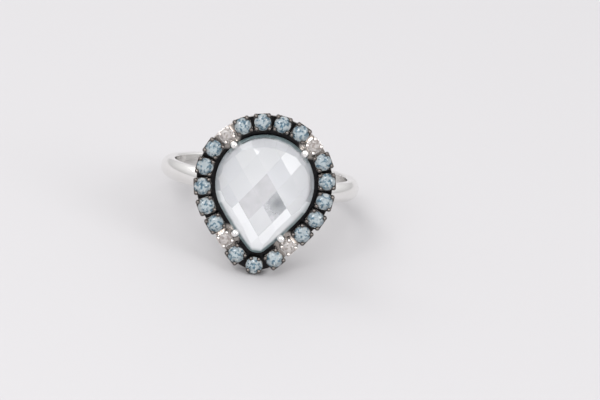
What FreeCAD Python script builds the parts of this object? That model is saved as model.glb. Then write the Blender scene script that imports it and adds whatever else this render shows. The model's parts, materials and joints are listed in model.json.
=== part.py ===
import FreeCAD, Part

import math
import os

from FreeCAD import Placement, Rotation, Vector
import Sketcher

# A cocktail ring: a pear-shaped stone held by four claws, ringed by small round stones in
# box settings, on an open gallery that straddles a plain band.
#
# Everything is drawn upright, as on a jeweller's mandrel: the finger runs along Y, the head
# stands up along Z with the point of the pear towards -Y, and the origin is the middle of
# the finger hole. At the end each piece gets one common placement, which lays the ring down
# the way it rests on a table: on the point of the head and the back of the band.

doc = FreeCAD.newDocument("cocktail_ring")

# ---------------------------------------------------------------- driving sizes
# name, value, what it is; lengths in millimetres, angles in degrees
DIMENSIONS = (
    ("finger_hole_diameter", 18.1, "inside of the band, US size 8"),
    ("band_wall", 1.35, "thickness of the band at its crown"),
    ("band_edge_wall", 0.75, "thickness of the band at its edges"),
    ("band_width", 2.0, "along the finger"),
    ("band_comfort_fillet", 0.2, "rounding of the band's inner edges"),
    ("stone_top_radius", 5.0, "round end of the pear stone's girdle"),
    ("stone_tip_radius", 1.34, "point of the pear stone's girdle"),
    ("stone_flank_radius", 29.3, "long sides of the pear stone's girdle"),
    ("stone_arc_spacing", 5.69, "from the centre of the round end to that of the point"),
    ("stone_girdle", 0.25, "thickness of the pear stone's edge"),
    ("stone_pavilion_depth", 3.2, "from the girdle down to the culet"),
    ("stone_crown_height", 2.0, "from the girdle up to the middle facet"),
    ("stone_facet_width", 2.45, "each lozenge of the chequerboard, across the pear"),
    ("stone_facet_length", 3.3, "each lozenge of the chequerboard, along the pear"),
    ("stone_facet_shift", 0.3, "middle lozenge, from the centre of the round end"),
    ("stone_rim_slope", 50.0, "facets beside the girdle, on top"),
    ("blue_stone_diameter", 1.66, "pale blue stones of the halo"),
    ("white_stone_diameter", 1.36, "white stones of the halo"),
    ("small_crown_slope", 34.5, "main crown facets of the small stones"),
    ("small_pavilion_slope", 41.0, "main pavilion facets of the small stones"),
    ("small_table_share", 0.56, "table of a small stone over its diameter"),
    ("small_girdle", 0.05, "thickness of a small stone's edge"),
    ("setting_side_lip", 0.04, "setting outside its stone, along the halo"),
    ("setting_end_lip", 0.05, "setting outside its stone, across the halo"),
    ("setting_height", 1.0, "from the rail to the small stones' girdles"),
    ("setting_taper", 0.33, "how far each side of a setting draws in at its foot"),
    ("setting_foot_wall", 0.14, "setting round the light hole at its foot, at its thinnest"),
    ("setting_gap", 0.27, "least gap between settings, on the line of the halo"),
    ("tip_setting_gap", 0.17, "more than that beside the setting at the point"),
    ("prong_radius", 0.22, "corner prongs of the settings"),
    ("prong_rise", 0.32, "prong tips over the small stones' girdles"),
    ("prong_root", 0.3, "prongs below the small stones' girdles"),
    ("tip_inner_prong_angle", 30.0, "inner prongs at the point, from its middle line"),
    ("tip_outer_prong_angle", 45.0, "outer prongs at the point, from its middle line"),
    ("claw_radius", 0.36, "four claws of the pear stone"),
    ("claw_head_radius", 0.44, "rounded end of each claw"),
    ("claw_rise", 1.0, "claw ends over the underside of the girdle"),
    ("claw_axis_outside", 0.1, "claw's middle line, outside the girdle"),
    ("claw_gap", 0.11, "between a claw and the setting behind it"),
    ("culet_gap", 0.4, "between the band and the pear stone's culet"),
    ("girdle_rise", 0.7, "pear stone's girdle over the halo rail"),
    ("rail_thickness", 0.6, "halo rail"),
    ("rail_lip", 0.6, "halo rail, outside the line of the halo"),
    ("seat_width", 0.53, "ring that the pear stone's underside rests in"),
    ("seat_lip", 0.35, "that ring over the halo rail"),
    ("seat_claw_gap", 0.06, "between that ring and a claw"),
    ("post_radius", 0.38, "posts between the two rails"),
    ("gallery_top_radius", 3.4, "round end of the lower rail"),
    ("gallery_tip_radius", 1.0, "point of the lower rail"),
    ("gallery_flank_radius", 20.0, "long sides of the lower rail"),
    ("gallery_arc_spacing", 3.6, "centre of its round end to that of its point"),
    ("gallery_rail_width", 0.9, "lower rail"),
    ("gallery_rise", 0.8, "top of the lower rail over the band"),
    ("gallery_finger_gap", 0.45, "underside of the lower rail off the finger"),
)

sizes = doc.addObject("Spreadsheet::Sheet", "Sizes")
for row, (name, value, note) in enumerate(DIMENSIONS, start=1):
    sizes.set(f"A{row}", name)
    sizes.set(f"B{row}", str(value))
    sizes.setAlias(f"B{row}", name)
    sizes.set(f"C{row}", note)
doc.recompute()


def size(name):
    """A driving size, as a number."""
    return float(sizes.get(name))


# ---------------------------------------------------------------- the pear outline
class Pear:
    """A pear of four tangent arcs, symmetric about Y and centred along it.

    grow offsets the whole outline outwards. The arcs keep their centres, so every
    outline of one family runs parallel to the others.
    """

    def __init__(self, family, grow=0.0):
        top = size(f"{family}_top_radius")
        tip = size(f"{family}_tip_radius")
        flank = size(f"{family}_flank_radius")
        spacing = size(f"{family}_arc_spacing")
        reach = flank - top
        rise = ((flank - tip) ** 2 - reach**2 - spacing**2) / (2 * reach * spacing)
        self.top_turn = math.asin(rise)
        self.top_centre = Vector(0, (spacing + tip - top) / 2, 0)
        self.tip_centre = self.top_centre - Vector(0, spacing, 0)
        self.flank_offset = Vector(
            reach * math.cos(self.top_turn), reach * math.sin(self.top_turn), 0
        )
        down = self.flank_offset.y + spacing
        self.tip_turn = math.pi / 2 - math.atan2(down, self.flank_offset.x)
        self.top_radius = top + grow
        self.tip_radius = tip + grow
        self.flank_radius = flank + grow
        self.tip_length = self.tip_radius * self.tip_turn
        flank_turn = math.pi / 2 - self.tip_turn - self.top_turn
        self.flank_length = self.flank_radius * flank_turn
        self.top_length = self.top_radius * (math.pi / 2 + self.top_turn)
        self.half_length = self.tip_length + self.flank_length + self.top_length

    def flank_centre(self, side):
        """Centre of the flank arc on one side, 1 for +X and -1 for -X."""
        across = -side * self.flank_offset.x
        return self.top_centre + Vector(across, self.flank_offset.y, 0)

    def at(self, along):
        """The point that far round from the tip, and the way out of the pear there.

        Positive goes up the +X side, and negative up the -X side.
        """
        side = -1 if along < 0 else 1
        length = abs(along)
        if length <= self.tip_length:
            centre = self.tip_centre
            radius = self.tip_radius
            turn = length / radius - math.pi / 2
        elif length <= self.tip_length + self.flank_length:
            centre = self.flank_centre(1)
            radius = self.flank_radius
            turn = self.tip_turn - math.pi / 2 + (length - self.tip_length) / radius
        else:
            centre = self.top_centre
            radius = self.top_radius
            turn = (length - self.tip_length - self.flank_length) / radius - self.top_turn
        outwards = Vector(math.cos(turn), math.sin(turn), 0)
        point = centre + outwards * radius
        return Vector(side * point.x, point.y, 0), Vector(side * outwards.x, outwards.y, 0)


# ---------------------------------------------------------------- worked-out sizes
# The halo has a setting at the point of the pear, SIDE_SETTINGS up each side of it, and none
# on the middle line at the top. White stones sit at WHITE_PLACES on each side.
SIDE_SETTINGS = 10
WHITE_PLACES = (2, 8)
PLACES = range(-SIDE_SETTINGS, SIDE_SETTINGS + 1)


def stone_colour(place):
    """Colour of the halo stone at a place, counted from the point of the pear."""
    return "white" if abs(place) in WHITE_PLACES else "blue"


def setting_half_width(place):
    """Half of a setting along the halo. The one at the point is round."""
    lip = "setting_end_lip" if place == 0 else "setting_side_lip"
    return size(f"{stone_colour(place)}_stone_diameter") / 2 + size(lip)


def light_hole_text(colour):
    """Radius of the hole under a small stone, as an expression."""
    outer = f"Sizes.{colour}_stone_diameter / 2 + Sizes.setting_side_lip"
    return f"{outer} - Sizes.setting_taper - Sizes.setting_foot_wall"


def light_hole(colour):
    """The same radius, as a number."""
    outer = size(f"{colour}_stone_diameter") / 2 + size("setting_side_lip")
    return outer - size("setting_taper") - size("setting_foot_wall")


settings_length = sum(2 * setting_half_width(place) for place in PLACES)
claw_room = size("claw_axis_outside") + size("claw_radius") + size("claw_gap")
white_room = size("white_stone_diameter") / 2 + size("setting_end_lip") + claw_room
blue_room = size("blue_stone_diameter") / 2 + size("setting_end_lip") + size("claw_gap")
least_halo = settings_length + len(PLACES) * size("setting_gap") + 2 * size("tip_setting_gap")
length_room = (least_halo - 2 * Pear("stone").half_length) / (2 * math.pi)
halo_inset = max(white_room, blue_room, length_room)
halo = Pear("stone", halo_inset)
spare_length = 2 * (halo.half_length - size("tip_setting_gap")) - settings_length
setting_spacing = spare_length / len(PLACES)

# the seat starts clear of the claws, this far inside the pear stone's girdle
seat_set_back = size("claw_radius") - size("claw_axis_outside") + size("seat_claw_gap")

finger_radius = size("finger_hole_diameter") / 2
band_radius = finger_radius + size("band_wall")
gallery_top = band_radius + size("gallery_rise")
girdle_height = band_radius + size("culet_gap") + size("stone_pavilion_depth")
rail_top = girdle_height - size("girdle_rise")
rail_bottom = rail_top - size("rail_thickness")
halo_girdle_height = rail_top + size("setting_height")

worked_out = doc.addObject("Spreadsheet::Sheet", "WorkedOut")
for row, (name, value) in enumerate(
    (
        ("halo_inset", halo_inset),
        ("band_radius", band_radius),
        ("gallery_top", gallery_top),
        ("rail_top", rail_top),
        ("rail_bottom", rail_bottom),
        ("seat_set_back", seat_set_back),
    ),
    start=1,
):
    worked_out.set(f"A{row}", name)
    worked_out.set(f"B{row}", repr(value))
    worked_out.setAlias(f"B{row}", name)
doc.recompute()


def distance_round(place):
    """How far round the halo a setting's middle is, with its side's sign."""
    distance = 0.0
    for step in range(abs(place)):
        distance += setting_half_width(step) + setting_spacing + setting_half_width(step + 1)
        if step == 0:
            distance += size("tip_setting_gap")
    return math.copysign(distance, place)


# ---------------------------------------------------------------- helpers
def new_body(name):
    return doc.addObject("PartDesign::Body", name)


def new_sketch(body, name, role="XY_Plane", height=None):
    """A sketch on one of the body's origin planes, raised by an expression if one is given."""
    plane = [item for item in body.Origin.OriginFeatures if item.Role == role][0]
    sketch = body.newObject("Sketcher::SketchObject", name)
    sketch.AttachmentSupport = [(plane, "")]
    sketch.MapMode = "FlatFace"
    if height is not None:
        sketch.setExpression("AttachmentOffset.Base.z", height)
    return sketch


def bind(sketch, constraint, expression):
    """Adds a constraint whose value is an expression on the sheets."""
    index = sketch.addConstraint(constraint)
    sketch.setExpression(f"Constraints[{index}]", expression)
    return index


def new_pad(body, sketch, name, length, reverse=False):
    pad = body.newObject("PartDesign::Pad", name)
    pad.Profile = sketch
    pad.Reversed = reverse
    pad.setExpression("Length", length)
    doc.recompute()
    return pad


def cut_through(body, sketch, name):
    """A pocket right through the body, both ways from the sketch."""
    before = body.Shape.Volume
    pocket = body.newObject("PartDesign::Pocket", name)
    pocket.Profile = sketch
    pocket.SideType = "Symmetric"
    pocket.Type = "ThroughAll"
    doc.recompute()
    if body.Shape.Volume >= before:
        raise RuntimeError(f"{name} cuts nothing")
    return pocket


def edges_of(feature, wanted):
    """Names of the feature's edges that a test picks."""
    edges = enumerate(feature.Shape.Edges, start=1)
    return [f"Edge{number}" for number, edge in edges if wanted(edge)]


def new_fillet(body, base, name, edges, radius):
    fillet = body.newObject("PartDesign::Fillet", name)
    fillet.Base = (base, edges)
    fillet.setExpression("Radius", radius)
    doc.recompute()
    return fillet


def add_ball(body, name, centre, radius, height):
    """A ball on the body, over a point. Its radius and height are expressions."""
    ball = body.newObject("PartDesign::AdditiveSphere", name)
    ball.setExpression("Radius", radius)
    ball.Placement = Placement(centre, Rotation())
    ball.setExpression("Placement.Base.z", height)
    doc.recompute()


def new_cut(name, base, tool):
    cut = doc.addObject("Part::Cut", name)
    cut.Base = base
    cut.Tool = tool
    doc.recompute()
    return cut


def new_clone(name, source):
    """A body of its own with the shape of another object."""
    body = new_body(name)
    feature = body.newObject("PartDesign::FeatureBase", f"{name}_shape")
    feature.BaseFeature = source
    body.Tip = feature
    doc.recompute()
    return body


def draw_pear(sketch, family, grow="0", value=0.0):
    """Draws a pear outline, with every size bound to the sheet.

    grow is the offset as an expression, and value is the same offset as a number, so that
    the arcs are drawn where the constraints will hold them.
    """
    pear = Pear(family, value)
    straight_down = 3 * math.pi / 2
    arcs = (
        (pear.top_centre, pear.top_radius, -pear.top_turn, math.pi + pear.top_turn),
        (
            pear.flank_centre(-1),
            pear.flank_radius,
            math.pi + pear.top_turn,
            straight_down - pear.tip_turn,
        ),
        (
            pear.tip_centre,
            pear.tip_radius,
            straight_down - pear.tip_turn,
            straight_down + pear.tip_turn,
        ),
        (
            pear.flank_centre(1),
            pear.flank_radius,
            pear.tip_turn - math.pi / 2,
            -pear.top_turn,
        ),
    )
    top, left, tip, right = (
        sketch.addGeometry(Part.ArcOfCircle(Part.Circle(centre, Vector(0, 0, 1), radius), a, b))
        for centre, radius, a, b in arcs
    )
    for first, second in ((top, left), (left, tip), (tip, right), (right, top)):
        sketch.addConstraint(Sketcher.Constraint("Tangent", first, 2, second, 1))
    sketch.addConstraint(Sketcher.Constraint("PointOnObject", top, 3, -2))
    sketch.addConstraint(Sketcher.Constraint("PointOnObject", tip, 3, -2))
    radii = (
        (top, pear.top_radius, "top_radius"),
        (left, pear.flank_radius, "flank_radius"),
        (tip, pear.tip_radius, "tip_radius"),
        (right, pear.flank_radius, "flank_radius"),
    )
    for arc, radius, name in radii:
        constraint = Sketcher.Constraint("Radius", arc, radius)
        bind(sketch, constraint, f"Sizes.{family}_{name} + {grow}")
    spacing = pear.top_centre.y - pear.tip_centre.y
    constraint = Sketcher.Constraint("DistanceY", tip, 3, top, 3, spacing)
    bind(sketch, constraint, f"Sizes.{family}_arc_spacing")
    constraint = Sketcher.Constraint("DistanceY", -1, 1, top, 3, pear.top_centre.y)
    spread = f"Sizes.{family}_arc_spacing + Sizes.{family}_tip_radius"
    bind(sketch, constraint, f"({spread} - Sizes.{family}_top_radius) / 2")


def draw_circle(sketch, centre, radius_value, radius):
    circle = sketch.addGeometry(Part.Circle(centre, Vector(0, 0, 1), radius_value))
    bind(sketch, Sketcher.Constraint("Radius", circle, radius_value), radius)
    return circle


def draw_bevelled_box(sketch, width, depth, bevel):
    """A rectangle with bevelled corners about the sketch's origin.

    Half its width, half its depth and its bevel are each an expression and its value.
    """
    across = width[1] - bevel[1]
    up = depth[1] - bevel[1]
    corners = (
        Vector(width[1], -up, 0),
        Vector(width[1], up, 0),
        Vector(across, depth[1], 0),
        Vector(-across, depth[1], 0),
        Vector(-width[1], up, 0),
        Vector(-width[1], -up, 0),
        Vector(-across, -depth[1], 0),
        Vector(across, -depth[1], 0),
    )
    lines = []
    for number, start in enumerate(corners):
        end = corners[(number + 1) % len(corners)]
        lines.append(sketch.addGeometry(Part.LineSegment(start, end)))
    for number, line in enumerate(lines):
        following = lines[(number + 1) % len(lines)]
        sketch.addConstraint(Sketcher.Constraint("Coincident", line, 2, following, 1))
    right, top, left, bottom = lines[0], lines[2], lines[4], lines[6]
    for line, axis in ((right, -1), (left, -1), (top, -2), (bottom, -2)):
        sketch.addConstraint(Sketcher.Constraint("Symmetric", line, 1, line, 2, axis))
    flat_width = f"2 * ({width[0]} - {bevel[0]})"
    flat_depth = f"2 * ({depth[0]} - {bevel[0]})"
    constraints = (
        (Sketcher.Constraint("DistanceX", -1, 1, right, 1, width[1]), width[0]),
        (Sketcher.Constraint("DistanceX", left, 1, -1, 1, width[1]), width[0]),
        (Sketcher.Constraint("DistanceY", -1, 1, top, 1, depth[1]), depth[0]),
        (Sketcher.Constraint("DistanceY", bottom, 1, -1, 1, depth[1]), depth[0]),
        (Sketcher.Constraint("DistanceY", right, 1, right, 2, 2 * up), flat_depth),
        (Sketcher.Constraint("DistanceY", left, 2, left, 1, 2 * up), flat_depth),
        (Sketcher.Constraint("DistanceX", top, 2, top, 1, 2 * across), flat_width),
        (Sketcher.Constraint("DistanceX", bottom, 1, bottom, 2, 2 * across), flat_width),
    )
    for constraint, expression in constraints:
        bind(sketch, constraint, expression)


# ---------------------------------------------------------------- the stones
# slopes of a small stone's lesser facets, as shares of its main facets' slopes
UPPER_GIRDLE_SHARE = 1.2
STAR_SHARE = 0.62
LOWER_GIRDLE_SHARE = 1.04

# the pear stone's crown follows a dome, which falls by this share of its height at the girdle
DOME_FALL_SHARE = 0.9
RIM_FACETS = 24
# slope of the facets between the pear stone's main pavilion facets, over the mains' slope
PAVILION_BREAK_SHARE = 1.12


def cut_facets(blank, facets):
    """Grinds flat facets on a solid. Each is a point on the facet and its way out."""
    reach = 4 * blank.BoundBox.DiagonalLength
    block = Part.makeBox(reach, reach, reach, Vector(-reach / 2, -reach / 2, 0))
    solid = blank
    for point, outwards in facets:
        tool = block.copy()
        tool.Placement = Placement(point, Rotation(Vector(0, 0, 1), outwards))
        solid = solid.cut(tool)
    return solid.Solids[0]


def facet_way(azimuth, slope, up=1):
    """The way out of a facet: azimuth of its fall, and its slope from level."""
    level = math.sin(slope)
    return Vector(level * math.cos(azimuth), level * math.sin(azimuth), up * math.cos(slope))


def round_brilliant(diameter):
    """A brilliant-cut stone, with the underside of its girdle at the origin."""
    radius = diameter / 2
    girdle = size("small_girdle")
    table = size("small_table_share") * radius
    crown_slope = math.radians(size("small_crown_slope"))
    pavilion_slope = math.radians(size("small_pavilion_slope"))
    table_height = girdle + (radius - table) * math.tan(crown_slope)
    eighth = math.pi / 4
    facets = [(Vector(0, 0, table_height), Vector(0, 0, 1))]

    def tier(count, first, slope, distance, height, up):
        for number in range(count):
            azimuth = first + number * 2 * math.pi / count
            point = Vector(distance * math.cos(azimuth), distance * math.sin(azimuth), height)
            facets.append((point, facet_way(azimuth, slope, up)))

    tier(8, 0, crown_slope, radius, girdle, 1)
    tier(16, eighth / 4, crown_slope * UPPER_GIRDLE_SHARE, radius, girdle, 1)
    star_distance = table * math.cos(eighth / 2)
    tier(8, eighth / 2, crown_slope * STAR_SHARE, star_distance, table_height, 1)
    tier(8, 0, pavilion_slope, radius, 0, -1)
    tier(16, eighth / 4, pavilion_slope * LOWER_GIRDLE_SHARE, radius, 0, -1)
    depth = radius * math.tan(pavilion_slope)
    blank = Part.makeCylinder(radius, 2 * depth + table_height, Vector(0, 0, -2 * depth))
    return cut_facets(blank, facets)


def pear_stone():
    """The chequerboard-cut pear, with the underside of its girdle at girdle height."""
    pear = Pear("stone")
    girdle_top = girdle_height + size("stone_girdle")
    crown_top = girdle_top + size("stone_crown_height")
    depth = size("stone_pavilion_depth")
    middle = pear.top_centre - Vector(0, size("stone_facet_shift"), 0)

    # the crown's lozenges touch a dome, steeper across the pear than along it
    half_width = size("stone_facet_width") / 2
    half_length = size("stone_facet_length") / 2
    dome_fall = DOME_FALL_SHARE * size("stone_crown_height")
    dome_across = size("stone_top_radius") ** 2 / (2 * dome_fall)
    dome_along = dome_across * (half_length / half_width) ** 2
    facets = []
    outer = pear.half_length / 2
    rows = math.ceil(outer / half_width)
    for right in range(-rows, rows + 1):
        for left in range(-rows, rows + 1):
            x = (right - left) * half_width
            y = (right + left) * half_length
            if math.hypot(x, y) > outer:
                continue
            fall = x**2 / (2 * dome_across) + y**2 / (2 * dome_along)
            point = middle + Vector(x, y, crown_top - fall)
            facets.append((point, Vector(x / dome_across, y / dome_along, 1)))

    # rows of facets beside the girdle, above and below it
    rim_slope = math.radians(size("stone_rim_slope"))
    culet = Vector(middle.x, middle.y, girdle_height - depth)
    for number in range(RIM_FACETS):
        along = (2 * number / RIM_FACETS - 1) * pear.half_length
        point, outwards = pear.at(along)
        azimuth = math.atan2(outwards.y, outwards.x)
        facets.append((point + Vector(0, 0, girdle_top), facet_way(azimuth, rim_slope)))
        edge = point + Vector(0, 0, girdle_height)
        flat = (edge - culet).dot(outwards)
        main_slope = math.atan2(depth, flat)
        facets.append((edge, facet_way(azimuth, main_slope, -1)))
        half_step = pear.half_length / RIM_FACETS
        point, outwards = pear.at(along + half_step)
        azimuth = math.atan2(outwards.y, outwards.x)
        edge = point + Vector(0, 0, girdle_height)
        facets.append((edge, facet_way(azimuth, main_slope * PAVILION_BREAK_SHARE, -1)))

    outline = new_body("stone_outline")
    sketch = new_sketch(outline, "stone_girdle_outline")
    draw_pear(sketch, "stone")
    pad = new_pad(outline, sketch, "stone_block", "2 * WorkedOut.rail_top")
    return cut_facets(pad.Shape, facets)


# ---------------------------------------------------------------- the band
def build_band():
    """A plain band, flat inside and crowned outside, turned about the finger's line."""
    body = new_body("band_turning")
    sketch = new_sketch(body, "band_section")
    half_width = size("band_width") / 2
    edge = finger_radius + size("band_edge_wall")
    crown = band_radius - edge
    curve = (half_width**2 + crown**2) / (2 * crown)
    sag = math.asin(half_width / curve)
    centre = Vector(band_radius - curve, 0, 0)
    inner_low = Vector(finger_radius, -half_width, 0)
    inner_high = Vector(finger_radius, half_width, 0)
    outer_low = Vector(edge, -half_width, 0)
    outer_high = Vector(edge, half_width, 0)
    low = sketch.addGeometry(Part.LineSegment(inner_low, outer_low))
    circle = Part.Circle(centre, Vector(0, 0, 1), curve)
    arc = sketch.addGeometry(Part.ArcOfCircle(circle, -sag, sag))
    high = sketch.addGeometry(Part.LineSegment(outer_high, inner_high))
    inner = sketch.addGeometry(Part.LineSegment(inner_high, inner_low))
    for first, second in ((low, arc), (arc, high), (high, inner), (inner, low)):
        sketch.addConstraint(Sketcher.Constraint("Coincident", first, 2, second, 1))
    sketch.addConstraint(Sketcher.Constraint("Horizontal", low))
    sketch.addConstraint(Sketcher.Constraint("Horizontal", high))
    sketch.addConstraint(Sketcher.Constraint("Symmetric", inner, 1, inner, 2, -1))
    sketch.addConstraint(Sketcher.Constraint("PointOnObject", arc, 3, -1))
    distance = Sketcher.Constraint("DistanceX", -1, 1, low, 1, finger_radius)
    bind(sketch, distance, "Sizes.finger_hole_diameter / 2")
    distance = Sketcher.Constraint("DistanceX", low, 1, low, 2, size("band_edge_wall"))
    bind(sketch, distance, "Sizes.band_edge_wall")
    distance = Sketcher.Constraint("DistanceY", inner, 2, inner, 1, 2 * half_width)
    bind(sketch, distance, "Sizes.band_width")
    crown_text = "(Sizes.band_wall - Sizes.band_edge_wall)"
    radius_text = f"((Sizes.band_width / 2)^2 + {crown_text}^2) / (2 * {crown_text})"
    bind(sketch, Sketcher.Constraint("Radius", arc, curve), radius_text)
    turning = body.newObject("PartDesign::Revolution", "band_ring")
    turning.Profile = sketch
    turning.ReferenceAxis = (sketch, ["V_Axis"])
    turning.Angle = 360
    doc.recompute()

    def at_finger(item):
        round_edge = isinstance(item.Curve, Part.Circle)
        return round_edge and abs(item.Curve.Radius - finger_radius) < 1e-6

    edges = edges_of(turning, at_finger)
    new_fillet(body, turning, "band_comfort", edges, "Sizes.band_comfort_fillet")
    return body


# ---------------------------------------------------------------- rails and posts
def pear_ring(name, family, inner, outer, bottom, height):
    """A flat ring between two outlines of one family.

    inner and outer are each an expression and its value; bottom and height are expressions.
    """
    body = new_body(name)
    sketch = new_sketch(body, f"{name}_outline", height=bottom)
    draw_pear(sketch, family, *outer)
    draw_pear(sketch, family, *inner)
    new_pad(body, sketch, f"{name}_pad", height)
    return body


def build_gallery_base(band):
    """The lower rail: a pear ring, hollowed to follow the finger and let over the band."""
    half = size("gallery_rail_width") / 2
    half_text = "Sizes.gallery_rail_width / 2"
    body = pear_ring(
        "gallery_blank",
        "gallery",
        (f"-{half_text}", -half),
        (half_text, half),
        "0",
        "WorkedOut.gallery_top",
    )
    sketch = new_sketch(body, "gallery_finger_curve", "XZ_Plane")
    radius = finger_radius + size("gallery_finger_gap")
    expression = "Sizes.finger_hole_diameter / 2 + Sizes.gallery_finger_gap"
    draw_circle(sketch, Vector(0, 0, 0), radius, expression)
    cut_through(body, sketch, "gallery_hollow")
    return new_cut("gallery_base", body, band)


def build_halo_rail():
    """The flat rail that the settings stand on, pierced under each small stone."""
    outer = halo_inset + size("rail_lip")
    body = pear_ring(
        "halo_rail",
        "stone",
        ("-WorkedOut.seat_set_back", -seat_set_back),
        ("WorkedOut.halo_inset + Sizes.rail_lip", outer),
        "WorkedOut.rail_bottom",
        "Sizes.rail_thickness",
    )
    sketch = new_sketch(body, "halo_rail_holes", height="WorkedOut.rail_bottom")
    for place in PLACES:
        point, _ = halo.at(distance_round(place))
        colour = stone_colour(place)
        draw_circle(sketch, point, light_hole(colour), light_hole_text(colour))
    cut_through(body, sketch, "halo_rail_piercing")
    return body


def build_seat(stone):
    """The ring inside the halo rail, cut to the underside of the pear stone."""
    inner = -seat_set_back - size("seat_width")
    body = pear_ring(
        "seat_blank",
        "stone",
        ("-(WorkedOut.seat_set_back + Sizes.seat_width)", inner),
        ("-WorkedOut.seat_set_back", -seat_set_back),
        "WorkedOut.rail_bottom",
        "Sizes.rail_thickness + Sizes.seat_lip",
    )
    return new_cut("centre_seat", body, stone)


def post_circle(name, point, height):
    circle = doc.addObject("Part::Circle", name)
    circle.setExpression("Radius", "Sizes.post_radius")
    circle.Placement = Placement(Vector(point.x, point.y, height), Rotation())
    return circle


def build_post(number, along_share):
    """A leaning post from the lower rail up to the halo rail, cut level at both ends."""
    lower = Pear("gallery")
    upper = Pear("stone", size("claw_axis_outside"))
    foot, _ = lower.at(along_share * lower.half_length)
    head, _ = upper.at(along_share * upper.half_length)
    post = doc.addObject("Part::Loft", f"gallery_post_{number}")
    post.Sections = [
        post_circle(f"post_foot_{number}", foot, gallery_top),
        post_circle(f"post_head_{number}", head, rail_bottom),
    ]
    post.Solid = True
    post.Ruled = True
    doc.recompute()
    return post


# ---------------------------------------------------------------- settings and claws
def add_prongs(body, name, centres):
    """Round prongs with domed tips, about the given points."""
    sketch = new_sketch(body, f"{name}_prongs", height="-Sizes.prong_root")
    for centre in centres:
        draw_circle(sketch, centre, size("prong_radius"), "Sizes.prong_radius")
    straight = "Sizes.prong_rise - Sizes.prong_radius"
    new_pad(body, sketch, f"{name}_prong_pad", f"Sizes.prong_root + {straight}")
    for number, centre in enumerate(centres, start=1):
        add_ball(body, f"{name}_prong_{number}", centre, "Sizes.prong_radius", straight)


def add_light_hole(body, name, colour):
    sketch = new_sketch(body, f"{name}_hole")
    draw_circle(sketch, Vector(0, 0, 0), light_hole(colour), light_hole_text(colour))
    cut_through(body, sketch, f"{name}_light_hole")


def build_box_setting(colour, stone):
    """A tapered box with a prong at each corner. X runs along the halo, Y outwards."""
    name = f"{colour}_box"
    radius = size(f"{colour}_stone_diameter") / 2
    half_width = radius + size("setting_side_lip")
    half_depth = radius + size("setting_end_lip")
    prong = size("prong_radius")
    draw_in = size("setting_taper")
    width_text = f"(Sizes.{colour}_stone_diameter / 2 + Sizes.setting_side_lip)"
    depth_text = f"(Sizes.{colour}_stone_diameter / 2 + Sizes.setting_end_lip)"
    # the bevel just touches the round prong that stands in the corner
    bevel = ("(2 - sqrt(2)) * Sizes.prong_radius", (2 - math.sqrt(2)) * prong)
    body = new_body(name)
    foot = new_sketch(body, f"{name}_foot", height="-Sizes.setting_height")
    draw_bevelled_box(
        foot,
        (f"({width_text} - Sizes.setting_taper)", half_width - draw_in),
        (f"({depth_text} - Sizes.setting_taper)", half_depth - draw_in),
        bevel,
    )
    mouth = new_sketch(body, f"{name}_mouth")
    draw_bevelled_box(mouth, (width_text, half_width), (depth_text, half_depth), bevel)
    walls = body.newObject("PartDesign::AdditiveLoft", f"{name}_walls")
    walls.Profile = foot
    walls.Sections = [mouth]
    walls.Ruled = True
    doc.recompute()
    add_light_hole(body, name, colour)
    across = half_width - prong
    up = half_depth - prong
    signs = ((1, 1), (-1, 1), (-1, -1), (1, -1))
    add_prongs(body, name, [Vector(x * across, y * up, 0) for x, y in signs])
    return new_cut(f"{colour}_setting", body, stone)


def build_tip_setting(stone):
    """The round setting at the point of the pear, whose inner prongs stand closer."""
    name = "tip_cone"
    radius = size("blue_stone_diameter") / 2
    outer = radius + size("setting_end_lip")
    body = new_body(name)
    foot = new_sketch(body, f"{name}_foot", height="-Sizes.setting_height")
    outer_text = "Sizes.blue_stone_diameter / 2 + Sizes.setting_end_lip"
    foot_text = f"{outer_text} - Sizes.setting_taper"
    draw_circle(foot, Vector(0, 0, 0), outer - size("setting_taper"), foot_text)
    mouth = new_sketch(body, f"{name}_mouth")
    draw_circle(mouth, Vector(0, 0, 0), outer, outer_text)
    walls = body.newObject("PartDesign::AdditiveLoft", f"{name}_walls")
    walls.Profile = foot
    walls.Sections = [mouth]
    walls.Ruled = True
    doc.recompute()
    add_light_hole(body, name, "blue")
    near = size("tip_inner_prong_angle")
    far = size("tip_outer_prong_angle")
    distance = outer - size("prong_radius") / 2
    centres = []
    for degrees in (-90 - near, near - 90, 90 - far, 90 + far):
        turn = math.radians(degrees)
        centres.append(Vector(distance * math.cos(turn), distance * math.sin(turn), 0))
    add_prongs(body, name, centres)
    return new_cut("tip_setting", body, stone)


def build_claw_blank():
    """A round claw standing on the halo rail, with a larger ball for its end."""
    body = new_body("claw_blank")
    shaft = new_sketch(body, "claw_shaft_outline", height="WorkedOut.rail_top")
    draw_circle(shaft, Vector(0, 0, 0), size("claw_radius"), "Sizes.claw_radius")
    neck = "Sizes.girdle_rise + Sizes.claw_rise - Sizes.claw_head_radius"
    new_pad(body, shaft, "claw_shaft", neck)
    height = f"WorkedOut.rail_top + {neck}"
    add_ball(body, "claw_head", Vector(0, 0, 0), "Sizes.claw_head_radius", height)
    return body


def build_claw(name, place, blank, stone):
    """A claw beside a white stone, notched where it grips the pear stone."""
    point, outwards = halo.at(distance_round(place))
    stands = point - outwards * (halo_inset - size("claw_axis_outside"))
    shaft = new_clone(f"{name}_shaft", blank)
    shaft.Placement = Placement(stands, Rotation())
    return new_cut(name, shaft, stone)


# ---------------------------------------------------------------- assembly
subparts = []


def keep(label, item, place=None):
    """Lists a finished sub-part, with its place in the upright ring."""
    item.Label = label
    subparts.append((item, place or Placement()))


def stone_object(name, shape):
    item = doc.addObject("Part::Feature", name)
    item.Shape = shape
    return item


band_turning = build_band()
keep("band", new_clone("band", band_turning))

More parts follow.
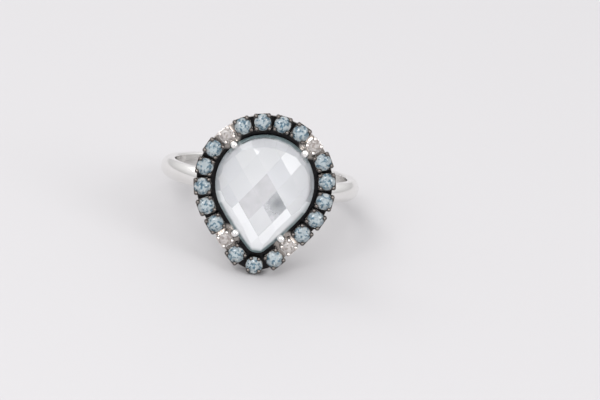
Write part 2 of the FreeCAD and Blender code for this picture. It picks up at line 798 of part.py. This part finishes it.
pear_cut = stone_object("pear_cut", pear_stone())
keep("centre_stone", new_clone("centre_stone", pear_cut))
keep("gallery_base", build_gallery_base(band_turning))
keep("halo_rail", build_halo_rail())
keep("centre_seat", build_seat(pear_cut))

POST_SHARES = (0, 0.2, 0.5, 0.8, 1, -0.8, -0.5, -0.2)
for post_number, post_share in enumerate(POST_SHARES, start=1):
    keep(f"gallery_post_{post_number}", build_post(post_number, post_share))

claw_blank = build_claw_blank()
for claw_name, claw_place in (
    ("claw_lower_right", WHITE_PLACES[0]),
    ("claw_upper_right", WHITE_PLACES[1]),
    ("claw_upper_left", -WHITE_PLACES[1]),
    ("claw_lower_left", -WHITE_PLACES[0]),
):
    keep(claw_name, build_claw(claw_name, claw_place, claw_blank, pear_cut))

small_cuts = {}
setting_cuts = {}
for colour_name in ("blue", "white"):
    cut_shape = round_brilliant(size(f"{colour_name}_stone_diameter"))
    small_cuts[colour_name] = stone_object(f"{colour_name}_cut", cut_shape)
    setting_cuts[colour_name] = build_box_setting(colour_name, small_cuts[colour_name])
setting_cuts["tip"] = build_tip_setting(small_cuts["blue"])

for halo_place in PLACES:
    number = halo_place + 1 if halo_place >= 0 else halo_place + len(PLACES) + 1
    colour_name = stone_colour(halo_place)
    setting_name = "tip" if halo_place == 0 else colour_name
    metal = "black" if colour_name == "blue" else "white"
    halo_point, halo_way = halo.at(distance_round(halo_place))
    heading = math.degrees(math.atan2(halo_way.y, halo_way.x)) - 90
    seat = Placement(
        Vector(halo_point.x, halo_point.y, halo_girdle_height),
        Rotation(Vector(0, 0, 1), heading),
    )
    small_stone = new_clone(f"{colour_name}_stone_{number:02d}", small_cuts[colour_name])
    keep(f"{colour_name}_stone_{number:02d}", small_stone, seat)
    setting = new_clone(f"{metal}_setting_{number:02d}", setting_cuts[setting_name])
    keep(f"{metal}_setting_{number:02d}", setting, seat)


# ---------------------------------------------------------------- laid down on a table
def lie_down(lean):
    """The turn that lays the ring down, with its face leaning back by that many degrees."""
    return Placement(Vector(0, 0, 0), Rotation(Vector(1, 0, 0), 90 - lean))


def lowest(shape, lean):
    turned = shape.copy()
    turned.Placement = lie_down(lean).multiply(turned.Placement)
    return turned.optimalBoundingBox(False, False).ZMin


def resting_lean():
    """The lean at which the point of the head and the back of the band are level."""
    tip_setting = setting_cuts["tip"].Shape.copy()
    tip_point, _ = halo.at(0)
    stand = Vector(tip_point.x, tip_point.y, halo_girdle_height)
    tip_setting.Placement = Placement(stand, Rotation(Vector(0, 0, 1), 180))
    head = Part.makeCompound([tip_setting, doc.getObject("halo_rail").Shape])
    low_lean = 0.0
    high_lean = 45.0
    close_enough = 1e-4
    while high_lean - low_lean > close_enough:
        lean = (low_lean + high_lean) / 2
        if lowest(head, lean) < lowest(band_turning.Shape, lean):
            low_lean = lean
        else:
            high_lean = lean
    return (low_lean + high_lean) / 2


ring_lean = resting_lean()
rest = lie_down(ring_lean)
for item, place in subparts:
    item.Placement = rest.multiply(place)
doc.recompute()

# ---------------------------------------------------------------- checks and files
for item in doc.Objects:
    if "Invalid" in item.State or "Error" in item.State:
        raise RuntimeError(f"{item.Label} failed: {item.State}")
for item, place in subparts:
    if item.Shape.isNull() or not item.Shape.isValid():
        raise RuntimeError(f"{item.Label} has no valid shape")
    if len(item.Shape.Solids) != 1:
        raise RuntimeError(f"{item.Label} has {len(item.Shape.Solids)} solids")

os.makedirs("parts", exist_ok=True)
for item, place in subparts:
    item.Shape.exportStep(f"parts/{item.Label}.step")
print(f"{len(subparts)} sub-parts; halo inset {halo_inset:.3f}, gap {setting_spacing:.3f}")
print(f"resting lean {ring_lean:.3f} degrees")
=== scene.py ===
import json
import math

import bpy
from mathutils import Matrix, Vector


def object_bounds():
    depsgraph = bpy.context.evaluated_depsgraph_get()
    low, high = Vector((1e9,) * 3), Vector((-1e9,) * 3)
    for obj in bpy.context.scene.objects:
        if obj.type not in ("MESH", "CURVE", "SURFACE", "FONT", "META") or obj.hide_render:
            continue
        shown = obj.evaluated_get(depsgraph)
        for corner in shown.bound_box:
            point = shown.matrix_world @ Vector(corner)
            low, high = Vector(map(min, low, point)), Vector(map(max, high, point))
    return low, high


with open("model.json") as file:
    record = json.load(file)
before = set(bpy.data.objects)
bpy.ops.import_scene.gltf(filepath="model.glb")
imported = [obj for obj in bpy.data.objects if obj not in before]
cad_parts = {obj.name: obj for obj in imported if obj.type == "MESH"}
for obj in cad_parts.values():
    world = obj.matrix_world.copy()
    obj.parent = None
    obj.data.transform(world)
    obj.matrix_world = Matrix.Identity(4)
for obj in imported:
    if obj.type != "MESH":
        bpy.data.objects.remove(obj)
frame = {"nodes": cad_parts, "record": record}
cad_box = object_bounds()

MM = 0.001

# ---------------------------------------------------------------- the ring's own frame
# The finger runs along the bore's axis. The face of the head looks square to it, away from
# the finger hole, and the point of the pear is at the low end of that axis.
record = frame["record"]
bore = [mount for mount in record["mounts"] if mount["name"] == "finger_bore"][0]
FINGER = Vector(bore["axis"]).normalized()
FINGER_CENTRE = Vector(bore["pos_m"])
RIGHT = Vector((1, 0, 0))
FACE = RIGHT.cross(FINGER)


def ring_point(right, along, out):
    """A point in the row frame from its place in the ring's own frame, in metres."""
    return FINGER_CENTRE + RIGHT * right + FINGER * along + FACE * out


# ---------------------------------------------------------------- small helpers
scene = bpy.context.scene
# nearly all the values of a noise texture lie between these
NOISE_RANGE = (0.3, 0.7)


def link(obj):
    scene.collection.objects.link(obj)
    return obj


def nodes_named(start):
    """The CAD objects whose names start that way, in order."""
    return [frame["nodes"][name] for name in sorted(frame["nodes"]) if name.startswith(start)]


def points_of(node):
    return [vertex.co for vertex in frame["nodes"][node].data.vertices]


def top_of(node):
    """The greatest height of a CAD node over the finger's middle, towards the face."""
    return max(FACE.dot(point) for point in points_of(node))


def on_rail(node):
    """The middle of a CAD node, brought down onto the top of the halo rail."""
    points = points_of(node)
    middle = sum(points, Vector()) / len(points)
    return middle + FACE * (top_of("halo_rail") - FACE.dot(middle))


def facing(right, along):
    """The way that a facet looks which tilts from the face of the head by so much."""
    return (FACE + RIGHT * right + FINGER * along).normalized()


def colour(red, green, blue):
    return (red, green, blue, 1.0)


class Shading:
    """A material's node tree, with short ways to add what the surfaces here need."""

    def __init__(self, name):
        self.material = bpy.data.materials.new(name)
        self.material.use_nodes = True
        self.tree = self.material.node_tree
        self.shader = self.tree.nodes["Principled BSDF"]
        self.place = self.add("ShaderNodeTexCoord").outputs["Object"]
        # the way that a flat facet looks
        self.facet = self.add("ShaderNodeNewGeometry").outputs["True Normal"]

    def add(self, kind, **settings):
        node = self.tree.nodes.new(kind)
        for name, value in settings.items():
            setattr(node, name, value)
        return node

    def feed(self, value, socket):
        """Gives a socket another node's output, or a value that is the same everywhere."""
        if isinstance(value, bpy.types.NodeSocket):
            self.tree.links.new(value, socket)
        else:
            socket.default_value = value

    def set(self, **values):
        """Sets the shader's own sockets, named with underscores for spaces."""
        for name, value in values.items():
            self.feed(value, self.shader.inputs[name.replace("_", " ")])

    def vectors(self, operation, first, second):
        """One number from two vectors."""
        node = self.add("ShaderNodeVectorMath", operation=operation)
        self.feed(first, node.inputs[0])
        self.feed(second, node.inputs[1])
        return node.outputs["Value"]

    def height(self):
        """How far out from the finger's middle a point is, towards the face of the head."""
        return self.vectors("DOT_PRODUCT", self.place, FACE)

    def distance(self, point):
        """How far a point of the surface is from a given one."""
        return self.vectors("DISTANCE", self.place, point)

    def turned_to(self, way):
        """1 on a facet that looks that way, 0 on one square to it, and less than 0 beyond."""
        return self.vectors("DOT_PRODUCT", self.facet, way)

    def near(self, way, within):
        """1 on a facet that looks that way, and 0 on those that tilt from it by more."""
        return self.fade(self.vectors("DISTANCE", self.facet, way), within, 0)

    def noise(self, size, detail=3.0, stretch=(1, 1, 1)):
        """Cloudy noise whose lumps are about size metres, longer where stretch is larger."""
        mapping = self.add("ShaderNodeMapping", vector_type="TEXTURE")
        mapping.inputs["Scale"].default_value = stretch
        self.feed(self.place, mapping.inputs["Vector"])
        return self.texture(mapping, 1 / size, detail)

    def facets(self, scale, shift):
        """Noise that is even across each flat facet, and differs from facet to facet."""
        mapping = self.add("ShaderNodeMapping")
        mapping.inputs["Location"].default_value = shift
        self.feed(self.facet, mapping.inputs["Vector"])
        return self.texture(mapping, scale, 0)

    def texture(self, mapping, scale, detail):
        """A noise texture over mapped places or normals."""
        noise = self.add("ShaderNodeTexNoise")
        noise.inputs["Scale"].default_value = scale
        noise.inputs["Detail"].default_value = detail
        self.feed(mapping.outputs["Vector"], noise.inputs["Vector"])
        return noise.outputs["Fac"]

    def span(self, value, to, over=NOISE_RANGE):
        """Maps a value's range onto another, and holds it at both ends."""
        span = self.add("ShaderNodeMapRange")
        span.inputs["From Min"].default_value, span.inputs["From Max"].default_value = over
        span.inputs["To Min"].default_value, span.inputs["To Max"].default_value = to
        self.feed(value, span.inputs["Value"])
        return span.outputs["Result"]

    def fade(self, value, zero_at, one_at):
        """0 where the value is at or past zero_at, and 1 where it is at or past one_at."""
        if zero_at < one_at:
            return self.span(value, (0, 1), (zero_at, one_at))
        return self.span(value, (1, 0), (one_at, zero_at))

    def times(self, first, second):
        product = self.add("ShaderNodeMath", operation="MULTIPLY")
        self.feed(first, product.inputs[0])
        self.feed(second, product.inputs[1])
        return product.outputs["Value"]

    def blend(self, factor, first, second):
        """A colour between two, by a factor."""
        mix = self.add("ShaderNodeMix", data_type="RGBA")
        self.feed(factor, mix.inputs["Factor"])
        self.feed(first, mix.inputs[6])
        self.feed(second, mix.inputs[7])
        return mix.outputs[2]

    def edges(self, radius):
        """The normal rounded over sharp edges, and a mask of 1 there and 0 on flat ground."""
        bevel = self.add("ShaderNodeBevel", samples=6)
        bevel.inputs["Radius"].default_value = radius
        rounded = bevel.outputs["Normal"]
        plain = self.add("ShaderNodeNewGeometry").outputs["Normal"]
        return rounded, self.fade(self.vectors("DISTANCE", rounded, plain), 0.05, 0.5)

    def bump(self, height, strength, depth, over):
        """Bumps on top of another normal."""
        bump = self.add("ShaderNodeBump")
        bump.inputs["Strength"].default_value = strength
        bump.inputs["Distance"].default_value = depth
        self.feed(over, bump.inputs["Normal"])
        self.feed(height, bump.inputs["Height"])
        self.set(Normal=bump.outputs["Normal"])


# ---------------------------------------------------------------- heights on the head
PRONG_RISE = 0.32 * MM
CENTRE_CROWN = 2.25 * MM
PRONG_TOP = top_of("black_setting_02")
HALO_GIRDLE = PRONG_TOP - PRONG_RISE
CENTRE_GIRDLE = top_of("centre_stone") - CENTRE_CROWN


# ---------------------------------------------------------------- metals
POLISHED_EDGE = colour(0.93, 0.92, 0.91)
PLATING = (colour(0.008, 0.009, 0.012), colour(0.045, 0.042, 0.042))
# colours of the prong tips: partly wear, partly a painted highlight on their domes
WORN_AND_HIGHLIT_TIP = (colour(0.05, 0.045, 0.042), colour(0.30, 0.27, 0.25))
WORN_EDGE = colour(0.36, 0.33, 0.30)
BARE_METAL = colour(0.50, 0.46, 0.43)
# how far from a white setting and from a claw the rail and seat are bare of plating
BARE_AT_SETTING = 1.45 * MM
BARE_AT_CLAW = 0.75 * MM
# the plating sets in from this far inside that distance to this far outside it
PLATING_SETS_IN = (-0.15 * MM, 0.1 * MM)


def white_metal(name, dull, bright):
    """Polished metal: faintly rubbed and dented, brighter and smoother along its edges."""
    s = Shading(name)
    rounded, edge = s.edges(0.05 * MM)
    cloudy = s.blend(s.noise(1.5 * MM), dull, bright)
    rubbed = s.span(s.noise(0.25 * MM, detail=6, stretch=(4, 1, 1)), to=(0.06, 0.22))
    s.set(
        Metallic=1.0,
        Base_Color=s.blend(edge, cloudy, POLISHED_EDGE),
        Roughness=s.times(rubbed, s.span(edge, to=(1, 0.5), over=(0, 1))),
    )
    dents = s.noise(0.12 * MM, detail=8, stretch=(6, 1, 1))
    s.bump(dents, strength=0.25, depth=0.01 * MM, over=rounded)
    return s.material


def blackened_metal(name, bare=()):
    """Black plating, rubbed warm and grey along its edges; the tips of the prongs are lighter,
    partly from wear and partly a painted highlight.

    It gives way to bare metal near the points of bare, each given with how far that reaches.
    """
    s = Shading(name)
    rounded, edge = s.edges(0.06 * MM)
    rubbed = s.times(edge, s.span(s.noise(0.4 * MM, detail=5), to=(0.1, 1), over=(0.35, 0.55)))
    plated = s.blend(s.noise(0.35 * MM, detail=5), *PLATING)
    # the prongs are painted lighter towards their tops: partly wear, partly a painted highlight
    tip_wear_and_highlight = s.blend(s.noise(0.3 * MM), *WORN_AND_HIGHLIT_TIP)
    tips = s.fade(s.height(), HALO_GIRDLE, PRONG_TOP)
    metal = s.blend(tips, s.blend(rubbed, plated, WORN_EDGE), tip_wear_and_highlight)
    for point, reach in bare:
        first, last = (reach + past for past in PLATING_SETS_IN)
        metal = s.blend(s.fade(s.distance(point), first, last), BARE_METAL, metal)
    s.set(
        Metallic=1.0,
        Base_Color=metal,
        Roughness=s.span(s.noise(0.2 * MM), to=(0.12, 0.3)),
    )
    s.bump(s.noise(0.06 * MM, detail=6), strength=0.2, depth=0.01 * MM, over=rounded)
    return s.material


# ---------------------------------------------------------------- centre stone
# facets of the centre stone, by their tilt to the right and along the finger: those with a
# painted grey reflection, and the one with a painted dark reflection
GREY_FACETS = ((0, 0), (-0.176, -0.131))
DARK_FACET = (0.18, -0.13)
# unit normals of neighbouring facets lie further apart than this
ONE_FACET = 0.16
# middle of the painted dark reflection in that facet, in the ring's own frame
DARK_REFLECTION_MIDDLE = ring_point(1.5 * MM, -0.5 * MM, 15.9 * MM)
# the rim facets at the two sides, where the painted teal reflection of the black seat is faint
SIDE_FACETS = ((1.1, 0.1), (-1.1, 0.1))


def painted_crown_reflections(s):
    """The painted reflections on the centre stone's top facets, a tone of its own for each, and
    a mask of the low ones, which get a painted highlight.
    """
    # steep rim facets get a painted shade, the low facets towards the point a painted
    # highlight, and every facet a tone of its own, painted in place of what it reflects
    steep = s.fade(s.turned_to(FACE), 0.8, 0.66)
    low = s.times(
        s.fade(s.turned_to(FACE), 0.955, 0.93),
        s.fade(s.turned_to(FINGER), -0.18, -0.24),
    )
    each = s.span(s.facets(5, (3, 1, 0)), to=(0, 1))
    tone = s.blend(each, colour(0.90, 0.91, 0.94), colour(0.99, 0.995, 1))
    tone = s.blend(steep, tone, colour(0.78, 0.79, 0.82))
    # a few facets get a painted grey reflection, and one a painted dark reflection
    grey = s.blend(s.noise(0.9 * MM), colour(0.66, 0.65, 0.67), colour(0.88, 0.87, 0.89))
    for tilt in GREY_FACETS:
        tone = s.blend(s.near(facing(*tilt), ONE_FACET), tone, grey)
    clearing = s.times(
        s.span(s.distance(DARK_REFLECTION_MIDDLE), to=(0.05, 1), over=(0, 1.5 * MM)),
        s.span(s.noise(0.45 * MM), to=(0.5, 1)),
    )
    dark_reflection = s.blend(clearing, colour(0.16, 0.18, 0.19), colour(0.90, 0.90, 0.93))
    tone = s.blend(s.near(facing(*DARK_FACET), ONE_FACET), tone, dark_reflection)
    return s.blend(low, tone, colour(0.94, 0.95, 0.97)), low


def seat_reflection_line(s):
    """A mask of the lowest part of the centre stone's crown, where a painted teal reflection of
    the black seat goes, fainter at the two sides.
    """
    line = s.fade(s.height(), CENTRE_GIRDLE + 0.75 * MM, CENTRE_GIRDLE + 0.5 * MM)
    for tilt in SIDE_FACETS:
        side = s.near(facing(*tilt), 0.6)
        line = s.times(line, s.span(side, to=(1, 0.15), over=(0, 0.6)))
    return line


def centre_stone():
    """Half clear on top, where each facet has its own painted tone in place of what it
    reflects, over an underside painted white in place of the light a clear stone's facets throw
    back.
    """
    s = Shading("clear_stone")
    top = s.fade(s.height(), CENTRE_GIRDLE + 0.2 * MM, CENTRE_GIRDLE + 0.25 * MM)
    tone, low = painted_crown_reflections(s)
    # the lowest part of the crown is painted teal: a painted reflection of the black seat,
    # fainter at the two sides
    teal = s.blend(s.noise(1.5 * MM), colour(0.13, 0.18, 0.19), colour(0.34, 0.42, 0.43))
    tone = s.blend(seat_reflection_line(s), tone, teal)
    # the underside is painted near white, standing in for the light that the facets of a clear
    # stone throw back inside it
    underside_colour = s.blend(s.noise(2.5 * MM), colour(1.0, 1.0, 1.0), colour(0.98, 0.985, 0.99))
    # just under the girdle the underside is painted teal: a painted reflection of the black
    # seat
    edge = s.fade(s.height(), CENTRE_GIRDLE - 0.45 * MM, CENTRE_GIRDLE - 0.1 * MM)
    underside_colour = s.blend(edge, underside_colour, colour(0.27, 0.37, 0.39))
    # the low facets let less light through, so that more of their painted highlight shows
    clear = s.span(low, to=(0.68, 0.4), over=(0, 1))
    s.set(
        IOR=1.54,
        Base_Color=s.blend(top, underside_colour, tone),
        Roughness=s.span(top, to=(0.3, 0.01), over=(0, 1)),
        Transmission_Weight=s.times(s.span(top, to=(0.04, 1.0), over=(0, 1)), clear),
    )
    return s.material


# ---------------------------------------------------------------- halo stones
def small_stone(name, light, deep, index, clearness):
    """Part clear on top, and partly metallic underneath, so that light is thrown back as from a
    cut stone's facets. Over it all, glints are painted in the light colour.
    """
    s = Shading(name)
    under = s.fade(s.height(), HALO_GIRDLE + 0.06 * MM, HALO_GIRDLE + 0.05 * MM)
    # painted glints: in patches, facets are painted the light colour; elsewhere the stone shows
    # its deep colour
    painted_glint = s.times(
        s.span(s.facets(9, (0, 2, 5)), to=(0.45, 1)),
        s.fade(s.noise(0.28 * MM, detail=2), 0.40, 0.50),
    )
    s.set(
        IOR=index,
        Base_Color=s.blend(painted_glint, deep, light),
        Roughness=s.span(under, to=(0.01, 0.12), over=(0, 1)),
        Transmission_Weight=s.span(under, to=(clearness, 0.0), over=(0, 1)),
        Metallic=s.span(under, to=(0.0, 0.3), over=(0, 1)),
    )
    return s.material


# ---------------------------------------------------------------- what each node is made of
bare_places = [(on_rail(node.name), BARE_AT_SETTING) for node in nodes_named("white_setting")]
bare_places += [(on_rail(node.name), BARE_AT_CLAW) for node in nodes_named("claw")]
WHITE = white_metal("polished_white_metal", colour(0.80, 0.79, 0.77), colour(0.88, 0.87, 0.86))
SETTING = white_metal("white_setting_metal", colour(0.62, 0.57, 0.54), colour(0.80, 0.76, 0.73))
BLACK = blackened_metal("blackened_metal")
PART_BLACK = blackened_metal("part_blackened_metal", bare_places)
# for each kind of small stone: light is the colour of its painted glints, deep the colour
# between them
BLUE = small_stone(
    "blue_stone",
    light=colour(0.92, 0.985, 1.0),
    deep=colour(0.15, 0.28, 0.37),
    index=1.62,
    clearness=0.62,
)
PALE = small_stone(
    "white_stone",
    light=colour(0.94, 0.91, 0.89),
    deep=colour(0.50, 0.44, 0.41),
    index=1.76,
    clearness=0.6,
)
for start, material in (
    ("band", WHITE),
    ("gallery", WHITE),
    ("claw", WHITE),
    ("white_setting", SETTING),
    ("black_setting", BLACK),
    ("halo_rail", PART_BLACK),
    ("centre_seat", PART_BLACK),
    ("centre_stone", centre_stone()),
    ("blue_stone", BLUE),
    ("white_stone", PALE),
):
    for obj in nodes_named(start):
        obj.material_slots[0].material = material

# ---------------------------------------------------------------- camera
# the middle of the head, at about the height of the halo stones' girdles
HEAD = ring_point(0, 0, 14.5 * MM)
CAMERA_DISTANCE = 0.400
CAMERA_ASIDE = math.radians(-2.38)
CAMERA_RAISED = math.radians(6.96)
CAMERA_ROLL = math.radians(7.51)
AIM_RIGHT = 3.69 * MM
AIM_DOWN = 0.57 * MM
SEEN_WIDTH = 60.56 * MM
SENSOR_WIDTH = 36.0

level = RIGHT * math.sin(CAMERA_ASIDE) + FACE * math.cos(CAMERA_ASIDE)
towards_camera = FINGER * math.sin(CAMERA_RAISED) + level * math.cos(CAMERA_RAISED)
across = RIGHT * math.cos(CAMERA_ASIDE) - FACE * math.sin(CAMERA_ASIDE)
upwards = towards_camera.cross(across)
picture_right = across * math.cos(CAMERA_ROLL) + upwards * math.sin(CAMERA_ROLL)
picture_up = upwards * math.cos(CAMERA_ROLL) - across * math.sin(CAMERA_ROLL)
camera_place = HEAD + towards_camera * CAMERA_DISTANCE
aim = HEAD + picture_right * AIM_RIGHT - picture_up * AIM_DOWN
backwards = (camera_place - aim).normalized()
side = picture_up.cross(backwards).normalized()
head_up = backwards.cross(side)
camera_data = bpy.data.cameras.new("camera")
camera_data.sensor_width = SENSOR_WIDTH
camera_data.lens = SENSOR_WIDTH * CAMERA_DISTANCE / SEEN_WIDTH
camera_data.clip_start = 0.01
camera_data.clip_end = 20.0
camera = link(bpy.data.objects.new("camera", camera_data))
turn = Matrix((side, head_up, backwards)).transposed()
camera.matrix_world = Matrix.Translation(camera_place) @ turn.to_4x4()
scene.camera = camera
scene.view_settings.view_transform = "Standard"

# ---------------------------------------------------------------- floor and light
# from the ring to each side of the floor, in metres
REACH = 3.0
FLOOR_COLOUR = colour(0.515, 0.507, 0.517)
AIR_COLOUR = colour(0.96, 0.955, 0.965)
# how bright the room is, by how nearly one looks straight up or towards the camera: a
# direction, the two dot products with it between which the brightness changes, and from
# what to what
ROOM = (
    (Vector((0, 0, 1)), (0.0, 0.6), (0.6, 1.15)),
    (towards_camera, (0.955, 0.995), (1.0, 0.3)),
)
# the soft boxes: a name, where, how far across in metres, watts and tint
SOFT_BOXES = (
    ("window", Vector((-0.5, 0.35, 0.7)), 0.5, 2.0, (1.0, 0.99, 0.97)),
    ("front_right", HEAD + Vector((0.65, -0.56, 0.52)) * 0.8, 0.35, 1.6, (1.0, 1.0, 1.0)),
    ("front", HEAD + Vector((-0.35, -0.75, 0.65)) * 0.8, 0.4, 3.4, (1.0, 1.0, 1.0)),
)


def lay_floor():
    """A plain pale floor at the height of the ring's lowest point."""
    height = cad_box[0].z
    corners = [(-REACH, -REACH), (REACH, -REACH), (REACH, REACH), (-REACH, REACH)]
    mesh = bpy.data.meshes.new("floor")
    mesh.from_pydata([(x, y, height) for x, y in corners], [], [(0, 1, 2, 3)])
    paper = Shading("pale_floor")
    paper.set(Base_Color=FLOOR_COLOUR, Roughness=0.6)
    mesh.materials.append(paper.material)
    return link(bpy.data.objects.new("floor", mesh))


def light_room():
    """A pale room: brighter overhead, and darker round whoever stands at the camera."""
    world = bpy.data.worlds.new("studio")
    scene.world = world
    world.use_nodes = True
    tree = world.node_tree
    way = tree.nodes.new("ShaderNodeTexCoord").outputs["Generated"]
    both = tree.nodes.new("ShaderNodeMath")
    both.operation = "MULTIPLY"
    for number, (axis, over, to) in enumerate(ROOM):
        dot = tree.nodes.new("ShaderNodeVectorMath")
        dot.operation = "DOT_PRODUCT"
        dot.inputs[1].default_value = axis
        tree.links.new(way, dot.inputs[0])
        span = tree.nodes.new("ShaderNodeMapRange")
        span.inputs["From Min"].default_value, span.inputs["From Max"].default_value = over
        span.inputs["To Min"].default_value, span.inputs["To Max"].default_value = to
        tree.links.new(dot.outputs["Value"], span.inputs["Value"])
        tree.links.new(span.outputs["Result"], both.inputs[number])
    background = tree.nodes["Background"]
    tree.links.new(both.outputs["Value"], background.inputs["Strength"])
    background.inputs["Color"].default_value = AIR_COLOUR


def soft_box(name, place, across, watts, tint):
    """A square, soft area light that looks at the head of the ring."""
    data = bpy.data.lights.new(name, "AREA")
    data.shape = "RECTANGLE"
    data.size = across
    data.size_y = across
    data.energy = watts
    data.color = tint
    light = link(bpy.data.objects.new(name, data))
    light.location = place
    light.rotation_euler = (HEAD - light.location).to_track_quat("-Z", "Y").to_euler()


floor = lay_floor()
light_room()
for box in SOFT_BOXES:
    soft_box(*box)
